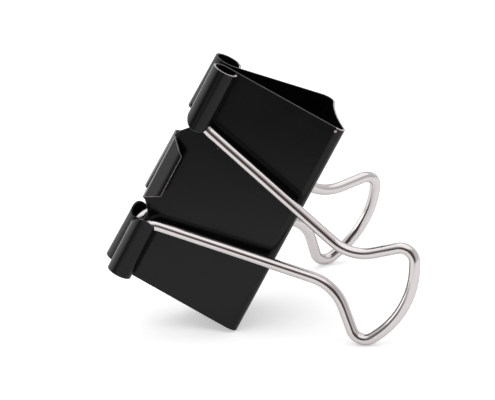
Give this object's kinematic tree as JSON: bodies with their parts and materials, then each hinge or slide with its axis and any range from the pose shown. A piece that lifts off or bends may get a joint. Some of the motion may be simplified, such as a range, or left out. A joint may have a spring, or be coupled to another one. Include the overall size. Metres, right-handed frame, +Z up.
{
  "type": "binder clip",
  "caption": "Black spring-steel binder clip with folding plated wire handles, standing on its handle loops; the jaws spring open and the handles swing.",
  "frame": {"origin": "centre of the bounding box at desk level", "axes": "+Z up from the desk, +X from the lips towards the spine along the lean, front jaw towards -Y"},
  "size_m": [0.0642, 0.0526, 0.0599],
  "materials": {
    "black_lacquer": "semi-gloss black lacquer on spring steel",
    "bright_nickel_plate": "bright nickel plate on drawn steel wire"
  },
  "bodies": {
    "spine": {"spine": "black_lacquer"},
    "front_jaw": {"front_jaw": "black_lacquer"},
    "rear_jaw": {"rear_jaw": "black_lacquer"},
    "front_handle": {"front_handle": "bright_nickel_plate"},
    "rear_handle": {"rear_handle": "bright_nickel_plate"}
  },
  "joints": [
    {"name": "front_jaw_flex", "type": "hinge", "parent": "spine", "child": "front_jaw", "pos_m": [0.00631, -0.01, 0.02232], "axis": [0.5046, -0.0503, 0.8619], "range_deg": [0, 24], "stiffness_Nm_per_rad": 2},
    {"name": "rear_jaw_flex", "type": "hinge", "parent": "spine", "child": "rear_jaw", "pos_m": [0.00679, 0.0088, 0.02314], "axis": [-0.5046, 0.0503, -0.8619], "range_deg": [0, 24], "stiffness_Nm_per_rad": 2},
    {"name": "front_handle_swing", "type": "hinge", "parent": "front_jaw", "child": "front_handle", "pos_m": [-0.01691, -0.0042, 0.03626], "axis": [-0.5046, 0.0503, -0.8619], "range_deg": [-5, 150]},
    {"name": "rear_handle_swing", "type": "hinge", "parent": "rear_jaw", "child": "rear_handle", "pos_m": [-0.01673, 0.00299, 0.03657], "axis": [0.5046, -0.0503, 0.8619], "range_deg": [-6, 149]}
  ]
}
